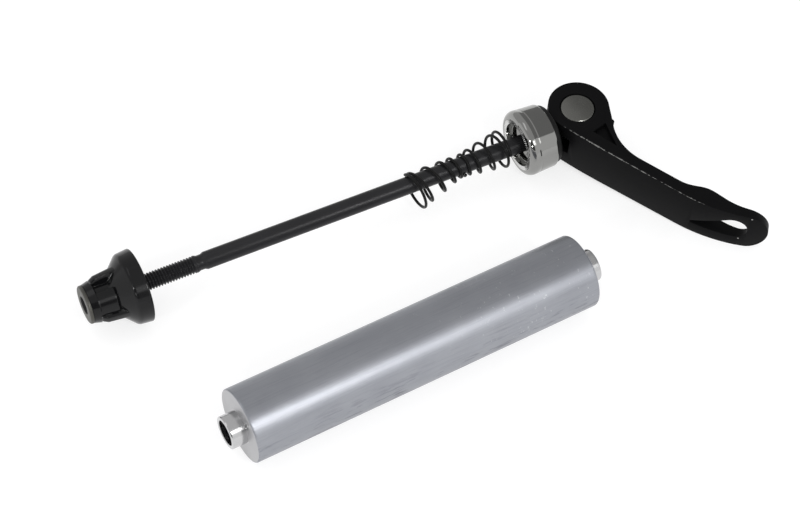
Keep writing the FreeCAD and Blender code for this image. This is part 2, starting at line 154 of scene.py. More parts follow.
# Cup: toothed mouth, bead, barrel and stepped hole; the crease is steps on from the bead and inwards
CUP_D = 18.5
CUP_BACK_D = 17.8
CUP_BACK_EDGE = ((0.5, 0.0), (0.4, 0.01), (0.1, 0.12), (0.0, 0.4))
CUP_W = 8.4
CUP_RING_D = 15.0
CUP_LIP_DEPTH = 1.9
CUP_LIP_STEPS = 12
CUP_BEAD_W = 3.0
CUP_CREASE = ((-0.25, 0.02), (0.0, 0.15), (0.2, 0.15), (0.4, 0.1), (0.5, 0.11))
CUP_MOUTH_D = 12.2
CUP_MOUTH_DEPTH = 1.5
CUP_STEP_D = 10.6
CUP_STEP_DEPTH = 1.4
CUP_STEP_EDGE = 0.1
CUP_CONE_DEPTH = 1.2
CUP_CONE_EDGE = (0.05, 0.12)
CUP_HOLE_D = 8.0
CUP_POCKET_D = 16.4
CUP_POCKET_DEPTH = 3.0
CUP_SEGMENTS = 192

# Ring of fine teeth, let into the cup's mouth ring
CUP_TEETH = 80
TOOTH_SIDES = 3
TOOTH_DEPTH = 0.12
TOOTH_SPREAD = 2.45
TEETH_FROM_MOUTH = 0.02
TEETH_FROM_RIM = 0.1
SEAT_FROM_RIM = 0.2

# Nut grip: collar, waist, cone with a rounded shoulder and rim, with fins and thumb pads
NUT_START = 0.95
NUT_LEN = 15.7
NUT_TIP_R = 5.2
NUT_COLLAR_R = 5.7
NUT_COLLAR_W = 2.9
NUT_COLLAR_FALL = 0.4
NUT_WAIST_R = 4.7
NUT_RIM_R = 10.0
NUT_RIM_W = 3.3
NUT_RIM_TAPER = 0.3
NUT_RIM_EDGE = 0.4
NUT_CONE_W = 5.4
NUT_SHOULDER_W = 1.2
NUT_SHOULDER_R = 8.95
NUT_SHOULDER_BULGE = 0.16
NUT_SEAT_R = 7.55
NUT_SEAT_DEPTH = 1.25
NUT_BORE_R = 3.55
FIN_TURNS = (66.0, 186.0, 306.0)
FIN_HALF_W = 1.1
FIN_SIDE_SOFT = 0.22
FIN_MIDDLE_R = 6.4
FIN_START = 2.5
FIN_START_SOFT = 0.1
FIN_OUTLINE = ((FIN_START, 5.3), (2.9, 6.1), (4.1, 6.8), (11.2, 7.6))
PAD_TURN = 41.5
PAD_SPAN = 72.0
PAD_SIDE_SOFT = 2.0
PAD_START_SOFT = 0.3
PAD_END = 7.8
PAD_END_SOFT = 0.15
PAD_R = 5.55
PAD_END_R = 6.15
NUT_SEGMENTS = 480
NUT_STEP = 0.12

# Pieces dressed straight from their CAD shape, with their edges broken
Eased = namedtuple("Eased", "edge segments finish body slot")
EASED_PIECES = {
    "lever": Eased(0.22, 3, "lever", "cam_lever", "black_anodised"),
    "pivot_pin": Eased(0.35, 2, "pin", "rod_and_sleeve", "bare_steel"),
    "cam_washer": Eased(0.15, 2, "washer", "clamp", "black_washer_plastic"),
    "nut_insert": Eased(0.12, 2, "insert", "nut_core", "plated_insert"),
}
EASED_ANGLE = 35.0
FLAT_ANGLE = 1.0
CAD_POINT_GAP = 2e-6
MERGE_GAP = 1e-7

# Detail and roughness of each noise
CLOUD_NOISE = (4.0, 0.55)
GRAIN_NOISE = (3.0, 0.6)
WEAR_AND_SHEEN_NOISE = (5.0, 0.7)
MARKS_NOISE = (6.0, 0.65)

# Finishes: clouded colour and gloss between two values each, and a fine grain that may be drawn out
BUMP_DEPTH = 0.02
FINISHES = {
    "sleeve": {"name": "turned aluminium", "dark": (0.29, 0.30, 0.33), "light": (0.38, 0.39, 0.42),
               "rough": (0.34, 0.44), "grain": 1400.0, "bump": 0.25, "draw": (0.06, 1, 1), "cloud": 90.0},
    "rod": {"name": "black oxide steel", "dark": (0.010, 0.010, 0.011), "light": (0.022, 0.022, 0.024),
            "rough": (0.28, 0.42), "grain": 1500.0, "bump": 0.3, "draw": (0.08, 1, 1), "metallic": 0.2,
            "specular": 0.25},
    "pin": {"name": "bare pin steel", "dark": (0.15, 0.15, 0.14), "light": (0.195, 0.195, 0.182),
            "rough": (0.22, 0.30), "grain": 1500.0, "bump": 0.2, "cloud": 300.0},
    "lever": {"name": "black satin lever", "dark": (0.003, 0.003, 0.0033), "light": (0.005, 0.005, 0.0054),
              "rough": (0.38, 0.48), "grain": 2500.0, "bump": 0.12, "cloud": 120.0, "metallic": 0.0,
              "specular": 0.05},
    "cup": {"name": "polished cup steel", "dark": (0.25, 0.25, 0.242), "light": (0.31, 0.31, 0.302),
            "rough": (0.05, 0.10), "grain": 400.0, "bump": 0.02, "cloud": 80.0},
    # Teeth: a lighter copy of the cup's steel, partly the cut metal's own tone and partly a painted highlight
    # on the mouth ring
    "teeth": {"name": "cut cup steel with painted highlight", "dark": (0.66, 0.66, 0.65), "light": (0.76, 0.76, 0.75),
              "rough": (0.20, 0.28), "grain": 400.0, "bump": 0.02, "cloud": 80.0},
    "washer": {"name": "black washer plastic", "dark": (0.005, 0.005, 0.005), "light": (0.009, 0.009, 0.009),
               "rough": (0.4, 0.55), "grain": 900.0, "bump": 0.1, "metallic": 0.0, "specular": 0.15},
    "spring": {"name": "black spring steel", "dark": (0.006, 0.006, 0.006), "light": (0.010, 0.010, 0.010),
               "rough": (0.3, 0.45), "grain": 900.0, "bump": 0.15, "metallic": 0.0, "specular": 0.12},
    "insert": {"name": "dull plated bush", "dark": (0.085, 0.083, 0.076), "light": (0.115, 0.112, 0.102),
               "rough": (0.38, 0.52), "grain": 1200.0, "bump": 0.2, "cloud": 200.0},
    "nut": {"name": "smooth black grip", "dark": (0.003, 0.003, 0.0035), "light": (0.006, 0.006, 0.0065),
            "rough": (0.12, 0.18), "grain": 700.0, "bump": 0.06, "cloud": 100.0, "metallic": 0.0,
            "specular": 0.26},
}

# What shows over a finish in places
Look = namedtuple("Look", "colour metallic rough")
# Bare metal of the lever's worn edge, light enough to stand for a painted highlight too
WORN_METAL_AND_SHEEN = Look((0.30, 0.30, 0.29), 1.0, 0.45)
# Painted shade for the inside of the nut's bush
PAINTED_BORE_SHADE = Look((0.006, 0.006, 0.007), 0.0, 0.6)
BRUSHED_METAL = Look((0.21, 0.215, 0.235), 1.0, 0.42)
# Darker metal for patches on the sleeve's lower side, stronger towards the bottom
DARK_PATCH_METAL = Look((0.13, 0.13, 0.15), 1.0, 0.5)
SCUFFED_METAL = Look((0.75, 0.75, 0.77), 1.0, 0.5)
FACED_METAL = Look((0.46, 0.46, 0.47), 1.0, 0.4)
POLISHED_STUB = Look((0.54, 0.54, 0.545), 1.0, 0.16)

# Lever's worn edge with a painted highlight, where its bowed face meets its top, and the two chips with
# painted glints near its tip
LEVER_TURN = -60.0
FACE_Q = -8.42
FACE_MID = 38.0
FACE_BOW = 0.00043
FACE_BEND = 0.011
TOP_Z = 7.1
TOP_FALL = 0.0116
WEAR_AND_SHEEN_SPAN = (0.3, 44.5)
WEAR_AND_SHEEN_REACH = 0.96
WEAR_AND_SHEEN_LEVEL = 0.42
WEAR_AND_SHEEN_SHARPNESS = 12.0
WEAR_AND_SHEEN_GRAIN = 1.1
CHIPS_AND_GLINTS = ((57.0, -4.4, 5.8), (54.9, -5.2, -3.4))
CHIP_AND_GLINT_R = 0.24

# Painted shade inside the nut's bush, out to the bore's radius
BUSH_BORE_R = 2.5

# Marks on the sleeve: how a pattern is drawn out, its scale, the level where it starts, and its strength
Marks = namedtuple("Marks", "draw scale level contrast amount")
BRUSHING = Marks((0.03, 1, 1), 2600.0, 0.50, 4.0, 0.34)
# Darker patches, only below a height and stronger towards the bottom
LOW_DARK_PATCHES = Marks((0.14, 1, 1), 900.0, 0.54, 12.0, 0.55)
SCUFFS = Marks((1, 0.5, 0.5), 1300.0, 0.64, 30.0, 0.4)
DARK_PATCHES_BELOW_Z = 6.0
DARK_PATCHES_FADE = 0.12
SCUFFS_FROM_X = -5.0
SCUFFS_FADE = 0.04
END_FACE_X = 49.97
STUB_START_X = 50.05


def new_object(name, data):
    obj = bpy.data.objects.new(name, data)
    bpy.context.scene.collection.objects.link(obj)
    return obj


def smooth_shaded(mesh, sharp_angle=SHARP_ANGLE):
    mesh.polygons.foreach_set("use_smooth", [True] * len(mesh.polygons))
    mesh.set_sharp_from_angle(angle=math.radians(sharp_angle))
    mesh.update()


# A mesh from points in millimetres, moved by place, with its doubles merged and faces outwards
def solid_mesh(name, points, faces, place):
    mesh = bpy.data.meshes.new(name)
    mesh.from_pydata([Vector(p) * MM for p in points], [], faces)
    mesh.transform(place)
    bm = bmesh.new()
    bm.from_mesh(mesh)
    bmesh.ops.remove_doubles(bm, verts=bm.verts, dist=MERGE_GAP)
    bmesh.ops.recalc_face_normals(bm, faces=bm.faces)
    bm.to_mesh(mesh)
    bm.free()
    return mesh


# The modifiers of an object made part of its mesh
def apply_modifiers(obj):
    bpy.context.view_layer.update()
    evaluated = obj.evaluated_get(bpy.context.evaluated_depsgraph_get())
    finished = bpy.data.meshes.new_from_object(evaluated)
    obj.modifiers.clear()
    before = obj.data
    obj.data = finished
    bpy.data.meshes.remove(before)


# Directions of the spokes of a turned piece
def spoke_turns(segments):
    return 2 * math.pi * np.arange(segments) / segments


# Rings of points about the X axis, one ring for each (x, radius) row; radius may be one value a spoke
def ring_points(rows, segments):
    turns = spoke_turns(segments)
    rings = []
    for x, radius in rows:
        r = np.broadcast_to(radius, turns.shape)
        rings.append(np.stack([np.full(segments, x), r * np.cos(turns), r * np.sin(turns)], axis=1))
    return np.concatenate(rings)


def ring_faces(count, segments, closed):
    faces = []
    last = count if closed else count - 1
    for i in range(last):
        a, b = i * segments, (i + 1) % count * segments
        for j in range(segments):
            k = (j + 1) % segments
            faces.append((a + j, b + j, b + k, a + k))
    return faces


# A solid turned about the skewer's or the sleeve's axis, from a closed outline of (x, radius) rows
def turned(name, rows, segments, place, closed=True):
    points = ring_points(rows, segments)
    return solid_mesh(name, points, ring_faces(len(rows), segments, closed), place)


# Rows of an edge, from its steps back from x and inwards from radius r
def edge_rows(x, r, steps):
    return [(x - back, r - inwards) for back, inwards in steps]


# Rows between the two ends of a quarter round that swells outwards
def rounded_rows(start, end, steps):
    rows = []
    for i in range(1, steps):
        t = math.pi / 2 * i / steps
        x = start[0] + (end[0] - start[0]) * (1 - math.cos(t))
        rows.append((x, start[1] + (end[1] - start[1]) * math.sin(t)))
    return rows


def smooth_step(low, high, value):
    t = np.clip((value - low) / (high - low), 0, 1)
    return t * t * (3 - 2 * t)


def tree_input(tree, name, kind, value=None):
    socket = tree.interface.new_socket(name, in_out="INPUT", socket_type=kind)
    if value is not None:
        socket.default_value = value


# Runs a Geometry Nodes tree on an object and leaves the result as its plain mesh
def run_tree(obj, tree, values):
    modifier = obj.modifiers.new(tree.name, "NODES")
    modifier.node_group = tree
    for item in tree.interface.items_tree:
        if item.item_type == "SOCKET" and item.in_out == "INPUT" and item.name in values:
            modifier[item.identifier] = values[item.name]
    obj.update_tag()
    apply_modifiers(obj)


# Last nodes of a Geometry Nodes tree: real geometry, with its finish, as the tree's output
def end_tree(tree, geometry, given, out, output):
    realize = tree.nodes.new("GeometryNodeRealizeInstances")
    finish = tree.nodes.new("GeometryNodeSetMaterial")
    tree.links.new(geometry, realize.inputs["Geometry"])
    tree.links.new(realize.outputs["Geometry"], finish.inputs["Geometry"])
    tree.links.new(given.outputs["Finish"], finish.inputs["Material"])
    tree.links.new(finish.outputs["Geometry"], out.inputs[output])


# Round wire along the edges of a path, with closed ends
def wire_tree():
    tree = bpy.data.node_groups.new("Wire along a path", "GeometryNodeTree")
    tree_input(tree, "Path", "NodeSocketGeometry")
    tree_input(tree, "Wire diameter", "NodeSocketFloat", WIRE_D * MM)
    tree_input(tree, "Sides", "NodeSocketInt", WIRE_SIDES)
    tree_input(tree, "Finish", "NodeSocketMaterial")
    tree.interface.new_socket("Wire", in_out="OUTPUT", socket_type="NodeSocketGeometry")
    nodes, links = tree.nodes, tree.links
    given, out = nodes.new("NodeGroupInput"), nodes.new("NodeGroupOutput")
    curve = nodes.new("GeometryNodeMeshToCurve")
    half = nodes.new("ShaderNodeMath")
    half.operation = "MULTIPLY"
    half.inputs[1].default_value = 0.5
    section = nodes.new("GeometryNodeCurvePrimitiveCircle")
    sweep = nodes.new("GeometryNodeCurveToMesh")
    sweep.inputs["Fill Caps"].default_value = True
    links.new(given.outputs["Path"], curve.inputs["Mesh"])
    links.new(given.outputs["Wire diameter"], half.inputs[0])
    links.new(given.outputs["Sides"], section.inputs["Resolution"])
    links.new(half.outputs[0], section.inputs["Radius"])
    links.new(curve.outputs["Curve"], sweep.inputs["Curve"])
    links.new(section.outputs["Curve"], sweep.inputs["Profile Curve"])
    end_tree(tree, sweep.outputs["Mesh"], given, out, "Wire")
    return tree


# A ring of fine radial ridges with V-shaped valleys, which looks along -X
def tooth_ring_tree():
    tree = bpy.data.node_groups.new("Ring of teeth", "GeometryNodeTree")
    tree_input(tree, "Blank", "NodeSocketGeometry")
    tree_input(tree, "Teeth", "NodeSocketInt", CUP_TEETH)
    tree_input(tree, "Middle radius", "NodeSocketFloat", (CUP_MOUTH_D + CUP_RING_D) / 4 * MM)
    tree_input(tree, "Tooth length", "NodeSocketFloat", (CUP_RING_D - CUP_MOUTH_D) / 2 * MM)
    tree_input(tree, "Tooth size", "NodeSocketFloat", TOOTH_DEPTH * MM)
    tree_input(tree, "Finish", "NodeSocketMaterial")
    tree.interface.new_socket("Ring", in_out="OUTPUT", socket_type="NodeSocketGeometry")
    nodes, links = tree.nodes, tree.links
    given, out = nodes.new("NodeGroupInput"), nodes.new("NodeGroupOutput")
    circle = nodes.new("GeometryNodeMeshCircle")
    ridge = nodes.new("GeometryNodeMeshCylinder")
    ridge.inputs["Vertices"].default_value = TOOTH_SIDES
    lay = nodes.new("GeometryNodeTransform")
    lay.inputs["Rotation"].default_value = (0.0, -math.pi / 2, 0.0)
    lay.inputs["Scale"].default_value = (1.0, TOOTH_SPREAD, 1.0)
    place = nodes.new("GeometryNodeInstanceOnPoints")
    position = nodes.new("GeometryNodeInputPosition")
    align = nodes.new("FunctionNodeAlignRotationToVector")
    align.axis = "X"
    align.pivot_axis = "Z"
    links.new(given.outputs["Teeth"], circle.inputs["Vertices"])
    links.new(given.outputs["Middle radius"], circle.inputs["Radius"])
    links.new(given.outputs["Tooth size"], ridge.inputs["Radius"])
    links.new(given.outputs["Tooth length"], ridge.inputs["Depth"])
    links.new(ridge.outputs["Mesh"], lay.inputs["Geometry"])
    links.new(circle.outputs["Mesh"], place.inputs["Points"])
    links.new(lay.outputs["Geometry"], place.inputs["Instance"])
    links.new(position.outputs["Position"], align.inputs["Vector"])
    links.new(align.outputs["Rotation"], place.inputs["Rotation"])
    end_tree(tree, place.outputs["Instances"], given, out, "Ring")
    return tree


# Axes of a piece's own frame as the columns of a matrix: X along the rod, and Z up
def own_axes(along, up):
    return Matrix((along, up.cross(along), up)).transposed()


# The skewer's own frame: its origin on the pin's axis, X along the rod towards the lever
Skewer = namedtuple("Skewer", "place pin along lever_axis")


def find_skewer(joints):
    pivot = joints["lever_pivot"]
    pin = Vector(pivot["pos_m"])
    along = Vector(joints["cup_slide"]["axis"]).normalized()
    place = Matrix.Translation(pin) @ own_axes(along, Vector((0, 0, 1))).to_4x4()
    return Skewer(place, pin, along, Vector(pivot["axis"]).normalized())


# First and last place of a node along the skewer, in millimetres from the pin
def span(node, skewer):
    reach = [(v.co - skewer.pin).dot(skewer.along) / MM for v in node.data.vertices]
    return min(reach), max(reach)


def dressed(obj, material, body, slot, *nodes):
    obj.data.materials.clear()
    obj.data.materials.append(material)
    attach(obj, body)
    if nodes:
        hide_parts(*nodes)


# Sleeve, with lightly broken edges and the bore through it
def sleeve_mesh(low, high):
    half_span = (high.x - low.x) / 2 / MM
    right = [(0.0, HUB_R)]
    right += edge_rows(SHOULDER_X, HUB_R, HUB_EDGE)
    right += edge_rows(SHOULDER_X, STUB_R, STUB_FOOT)
    right += edge_rows(half_span, STUB_R, STUB_EDGE)
    right += [(half_span, SLEEVE_BORE_R + SLEEVE_BORE_EDGE), (half_span - SLEEVE_BORE_EDGE, SLEEVE_BORE_R)]
    left = [(-x, r) for x, r in reversed(right[1:])]
    return turned("adapter_sleeve_turned", right + left, SLEEVE_SEGMENTS, Matrix.Identity(4))


def build_sleeve(finishes):
    sleeve = new_object("adapter_sleeve_turned", sleeve_mesh(*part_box("adapter_sleeve")))
    smooth_shaded(sleeve.data)
    dressed(sleeve, finishes["sleeve"], "rod_and_sleeve", "turned_aluminium", "adapter_sleeve")


# Radius of the rod's thread at x, one value for each spoke
def thread_radius(x, turns, start, end):
    phase = (x - start) / THREAD_PITCH - turns / (2 * math.pi)
    from_crest = np.abs(2 * (phase - np.floor(phase)) - 1)
    valley = np.clip(RIDGE_STEEPNESS * from_crest - RIDGE_FLAT, 0, 1)
    height = THREAD_CREST_R - THREAD_ROOT_R
    run_in = min(1.0, THREAD_FIRST_SHARE + min(1.0, (x - start) / THREAD_RUNOUT))
    run_out = max(0.0, min(1.0, (end - x) / THREAD_RUNOUT))
    return THREAD_ROOT_R + height * run_in - height * run_out * valley * run_in


# Rod, from its threaded end to the end inside the pin
def rod_mesh(start, end, place):
    turns = spoke_turns(ROD_SEGMENTS)
    thread_end = start + THREAD_LEN
    neck_end = thread_end + NECK_LEN
    tip_w, tip_drop = THREAD_END_EDGE
    shank_w, shank_drop = SHANK_EDGE
    rows = [(start, 0.0), (start, THREAD_ROOT_R - tip_drop)]
    count = int(THREAD_LEN / THREAD_PITCH * ROWS_PER_PITCH)
    for i in range(count + 1):
        x = start + tip_w + (THREAD_LEN - tip_w) * i / count
        rows.append((x, thread_radius(x, turns, start, thread_end)))
    rows += [
        (thread_end + NECK_TAPER, NECK_R),
        (neck_end - NECK_TAPER, NECK_R),
        (neck_end - shank_w, SHANK_R - shank_drop),
        (neck_end, SHANK_R),
        (end, SHANK_R),
        (end, 0.0),
    ]
    return turned("skewer_rod_threaded", rows, ROD_SEGMENTS, place, closed=False)


def build_rod(nodes, finishes, skewer):
    start, end = span(nodes["skewer_rod"], skewer)
    rod = new_object("skewer_rod_threaded", rod_mesh(start, end, skewer.place))
    smooth_shaded(rod.data, ROD_SHARP_ANGLE)
    dressed(rod, finishes["rod"], "rod_and_sleeve", "black_steel", "skewer_rod")


def spring_rise(t):
    whole = min(int(t), len(TURN_RISES) - 1)
    return sum(TURN_RISES[:whole]) + TURN_RISES[whole] * (t - whole)


def spring_radius(t):
    share = (SPRING_CONE_END - t) / (SPRING_CONE_END - SPRING_CONE_START)
    return SPRING_SMALL_R + (SPRING_LARGE_R - SPRING_SMALL_R) * max(0.0, min(1.0, share))


# Path of a leaning coned spring, from its large end
def spring_path(name, s, place):
    lean_turn = math.radians(s["lean_turn"])
    lean_dir = Vector((0, math.cos(lean_turn), math.sin(lean_turn)))
    slope = s["along"] * s["lean"] * (SPRING_LARGE_R - SPRING_SMALL_R) / spring_rise(SPRING_CONE_END)
    count = int(SPRING_TURNS * POINTS_PER_TURN)
    points = []
    for i in range(count + 1):
        t = SPRING_TURNS * i / count
        radius = spring_radius(t)
        turn = math.radians(s["turn"] + s["along"] * 360.0 * t)
        spoke = Vector((0, radius * math.cos(turn), radius * math.sin(turn)))
        x = s["x"] + s["along"] * s["stretch"] * spring_rise(t) + slope * spoke.dot(lean_dir)
        points.append((Vector((x, 0, 0)) + spoke + lean_dir * s["lean"] * (radius - SPRING_SMALL_R)) * MM)
    mesh = bpy.data.meshes.new(name)
    mesh.from_pydata(points, [(i, i + 1) for i in range(count)], [])
    mesh.transform(place)
    return mesh


def build_springs(finishes, skewer):
    tree = wire_tree()
    wire = {"Wire diameter": WIRE_D * MM, "Sides": WIRE_SIDES, "Finish": finishes["spring"]}
    springs = (("inner_spring", INNER_SPRING, "inner_coil"), ("outer_spring", OUTER_SPRING, "outer_coil"))
    for node, values, body in springs:
        coil = new_object(node + "_wire", spring_path(node + "_wire", values, skewer.place))
        run_tree(coil, tree, wire)
        smooth_shaded(coil.data, SPRING_SHARP_ANGLE)
        dressed(coil, finishes["spring"], body, "spring_steel", node)


# Cup, from its toothed front at x towards the lever
def cup_mesh(x, place):
    cup_r, ring_r, back_r = CUP_D / 2, CUP_RING_D / 2, CUP_BACK_D / 2
    mouth_r, step_r, hole_r = CUP_MOUTH_D / 2, CUP_STEP_D / 2, CUP_HOLE_D / 2
    step_end = CUP_MOUTH_DEPTH + CUP_STEP_DEPTH
    cone_w, cone_rise = CUP_CONE_EDGE
    lip_start, lip_end = (0.0, ring_r), (CUP_LIP_DEPTH, cup_r)
    rows = [(TOOTH_DEPTH, mouth_r + TEETH_FROM_MOUTH), (TOOTH_DEPTH, ring_r - SEAT_FROM_RIM), lip_start]
    rows += rounded_rows(lip_start, lip_end, CUP_LIP_STEPS)
    rows += [lip_end]
    rows += [(CUP_BEAD_W + on, cup_r - inwards) for on, inwards in CUP_CREASE]
    rows += edge_rows(CUP_W, back_r, CUP_BACK_EDGE)
    rows += [
        (CUP_W, CUP_POCKET_D / 2),
        (CUP_W - CUP_POCKET_DEPTH, CUP_POCKET_D / 2),
        (CUP_W - CUP_POCKET_DEPTH, hole_r),
        (step_end + CUP_CONE_DEPTH, hole_r),
        (step_end, step_r - cone_rise),
        (step_end - cone_w, step_r),
        (CUP_MOUTH_DEPTH + CUP_STEP_EDGE, step_r),
        (CUP_MOUTH_DEPTH, step_r + CUP_STEP_EDGE),
        (CUP_MOUTH_DEPTH, mouth_r),
    ]
    rows = [(x + a, r) for a, r in rows]
    return turned("clamp_cup_turned", rows, CUP_SEGMENTS, place)


# Ring of teeth for the cup's mouth, in place of a blank of one point
def cup_teeth(x, place, finish):
    blank = bpy.data.meshes.new("clamp_cup_teeth")
    blank.from_pydata([(0, 0, 0)], [], [])
    teeth = new_object("clamp_cup_teeth", blank)
    inner, outer = CUP_MOUTH_D / 2 + TEETH_FROM_MOUTH, CUP_RING_D / 2 - TEETH_FROM_RIM
    run_tree(teeth, tooth_ring_tree(), {
        "Teeth": CUP_TEETH,
        "Middle radius": (inner + outer) / 2 * MM,
        "Tooth length": (outer - inner) * MM,
        "Tooth size": TOOTH_DEPTH * MM,
        "Finish": finish,
    })
    front = Matrix.Translation(((x + TOOTH_DEPTH) * MM, 0, 0)) @ Matrix.Rotation(-math.pi / 2, 4, "Y")
    teeth.data.transform(place @ front)
    return teeth


def build_cup(nodes, finishes, skewer):
    front, _ = span(nodes["clamp_cup"], skewer)
    cup = new_object("clamp_cup_turned", cup_mesh(front, skewer.place))
    smooth_shaded(cup.data)
    dressed(cup, finishes["cup"], "clamp", "polished_steel", "clamp_cup")
    # The teeth wear the lighter steel that carries a painted highlight
    teeth = cup_teeth(front, skewer.place, finishes["teeth"])
    dressed(teeth, finishes["teeth"], "clamp", "polished_steel")


# Radius of the nut's grip at x from its tip, without its fins and pads
def nut_core_radius(x):
    rim_start = NUT_LEN - NUT_RIM_W
    cone_start, cone_end = rim_start - NUT_CONE_W, rim_start - NUT_SHOULDER_W
    rim_low = NUT_RIM_R - NUT_RIM_TAPER
    if x < NUT_COLLAR_W:
        return NUT_TIP_R + (NUT_COLLAR_R - NUT_TIP_R) * (x - NUT_START) / (NUT_COLLAR_W - NUT_START)
    if x < cone_start:
        fall = smooth_step(0.0, NUT_COLLAR_FALL, x - NUT_COLLAR_W)
        return NUT_COLLAR_R + (NUT_WAIST_R - NUT_COLLAR_R) * fall
    if x < cone_end:
        return NUT_WAIST_R + (NUT_SHOULDER_R - NUT_WAIST_R) * (x - cone_start) / (cone_end - cone_start)
    if x < rim_start:
        t = (x - cone_end) / NUT_SHOULDER_W
        return NUT_SHOULDER_R + (rim_low - NUT_SHOULDER_R) * t + 4 * NUT_SHOULDER_BULGE * t * (1 - t)
    edge = max(0.0, x - (NUT_LEN - NUT_RIM_EDGE)) / NUT_RIM_EDGE
    rim = rim_low + NUT_RIM_TAPER * (x - rim_start) / (NUT_RIM_W - NUT_RIM_EDGE)
    return min(rim, NUT_RIM_R) - NUT_RIM_EDGE * (1 - math.sqrt(max(0.0, 1 - edge * edge)))


# Height of a thumb pad over the core, one value for each spoke, by degrees from the fin before it
def pad_height(x, core, from_fin):
    start = NUT_COLLAR_W - NUT_COLLAR_FALL
    radius = PAD_R + (PAD_END_R - PAD_R) * min(1.0, max(0.0, (x - start) / (PAD_END - start)))
    along = smooth_step(start - PAD_START_SOFT, start, x)
    along *= 1 - smooth_step(PAD_END - PAD_END_SOFT, PAD_END + PAD_END_SOFT, x)
    last = PAD_TURN + PAD_SPAN
    across = smooth_step(PAD_TURN - PAD_SIDE_SOFT, PAD_TURN + PAD_SIDE_SOFT, from_fin)
    across = across * (1 - smooth_step(last - PAD_SIDE_SOFT, last + PAD_SIDE_SOFT, from_fin))
    return (radius - core) * across * along


# Height of a fin over the core, one value for each spoke, by degrees from the fin's middle
def fin_height(x, core, from_middle):
    radius = max(core, np.interp(x, *zip(*FIN_OUTLINE)))
    along = smooth_step(FIN_START - FIN_START_SOFT, FIN_START + FIN_START_SOFT, x)
    side = np.abs(np.radians(from_middle)) * FIN_MIDDLE_R
    across = 1 - smooth_step(FIN_HALF_W - FIN_SIDE_SOFT, FIN_HALF_W + FIN_SIDE_SOFT, side)
    return (radius - core) * across * along


# Outside of the nut's grip at x from its tip, one radius for each spoke
def nut_radius(x, turns):
    core = nut_core_radius(x)
    radius = np.full(turns.shape, core)
    for fin_turn in FIN_TURNS:
        from_fin = (np.degrees(turns) - fin_turn) % 360
        from_middle = (from_fin + 180) % 360 - 180
        radius = np.maximum(radius, core + pad_height(x, core, from_fin))
        radius = np.maximum(radius, core + fin_height(x, core, from_middle))
    return radius


def nut_mesh(tip, place):
    turns = spoke_turns(NUT_SEGMENTS)
    count = int((NUT_LEN - NUT_START) / NUT_STEP)
    rows = []
    for i in range(count + 1):
        x = NUT_START + (NUT_LEN - NUT_START) * i / count
        rows.append((tip + x, nut_radius(x, turns)))
    seat = NUT_LEN - NUT_SEAT_DEPTH
    rows += [
        (tip + NUT_LEN, NUT_SEAT_R),
        (tip + seat, NUT_SEAT_R),
        (tip + seat, NUT_BORE_R),
        (tip + NUT_START, NUT_BORE_R),
    ]
    return turned("nut_body_moulded", rows, NUT_SEGMENTS, place)


def build_nut(nodes, finishes, skewer):
    tip, _ = span(nodes["nut_insert"], skewer)
    grip = new_object("nut_body_moulded", nut_mesh(tip, skewer.place))
    smooth_shaded(grip.data, NUT_SHARP_ANGLE)
    dressed(grip, finishes["nut"], "nut_grip", "black_grip", "nut_body")


# A dressed copy of a CAD node with flat faces joined and its edges broken
def eased_copy(node, name, width, segments):
    mesh = node.data.copy()
    mesh.name = name
    bm = bmesh.new()
    bm.from_mesh(mesh)
    bmesh.ops.remove_doubles(bm, verts=bm.verts, dist=CAD_POINT_GAP)
    bmesh.ops.dissolve_limit(bm, angle_limit=math.radians(FLAT_ANGLE), verts=bm.verts, edges=bm.edges)
    bm.to_mesh(mesh)
    bm.free()
    mesh.materials.clear()
    obj = new_object(name, mesh)
    bevel = obj.modifiers.new("broken edges", "BEVEL")
    bevel.width = width * MM
    bevel.segments = segments
    bevel.limit_method = "ANGLE"
    bevel.angle_limit = math.radians(EASED_ANGLE)
    bevel.use_clamp_overlap = True
    apply_modifiers(obj)
    smooth_shaded(obj.data, EASED_SHARP_ANGLE)
    return obj


def build_eased_pieces(nodes, finishes):
    for node, piece in EASED_PIECES.items():
        obj = eased_copy(nodes[node], node + "_eased", piece.edge, piece.segments)
        dressed(obj, finishes[piece.finish], piece.body, piece.slot, node)


# A node's input set to a plain value, or linked to another node's output
def feed(tree, socket, value):
    if isinstance(value, bpy.types.NodeSocket):
        tree.links.new(value, socket)
    else:
        socket.default_value = value


def noise_node(tree, vector, scale, kind):
    noise = tree.nodes.new("ShaderNodeTexNoise")
    for name, value in zip(("Vector", "Scale", "Detail", "Roughness"), (vector, scale, *kind)):
        feed(tree, noise.inputs[name], value)
    return noise.outputs["Fac"]


def math_node(tree, operation, *values, clamp=False):
    node = tree.nodes.new("ShaderNodeMath")
    node.operation = operation
    node.use_clamp = clamp
    for socket, value in zip(node.inputs, values):
        feed(tree, socket, value)
    return node.outputs[0]


# Mix of two colours (RGBA) or two values (FLOAT) by a factor
def mix_node(tree, kind, *values):
    node = tree.nodes.new("ShaderNodeMix")
    node.data_type = kind
    in_use = [socket for socket in node.inputs if socket.enabled]
    for socket, value in zip(in_use, values):
        feed(tree, socket, value)
    return [socket for socket in node.outputs if socket.enabled][0]


def mapped(tree, vector, turn, scale):
    node = tree.nodes.new("ShaderNodeMapping")
    for name, value in (("Vector", vector), ("Rotation", turn), ("Scale", scale)):
        feed(tree, node.inputs[name], value)
    return node.outputs["Vector"]


def split_vector(tree, vector):
    split = tree.nodes.new("ShaderNodeSeparateXYZ")
    tree.links.new(vector, split.inputs[0])
    return split.outputs


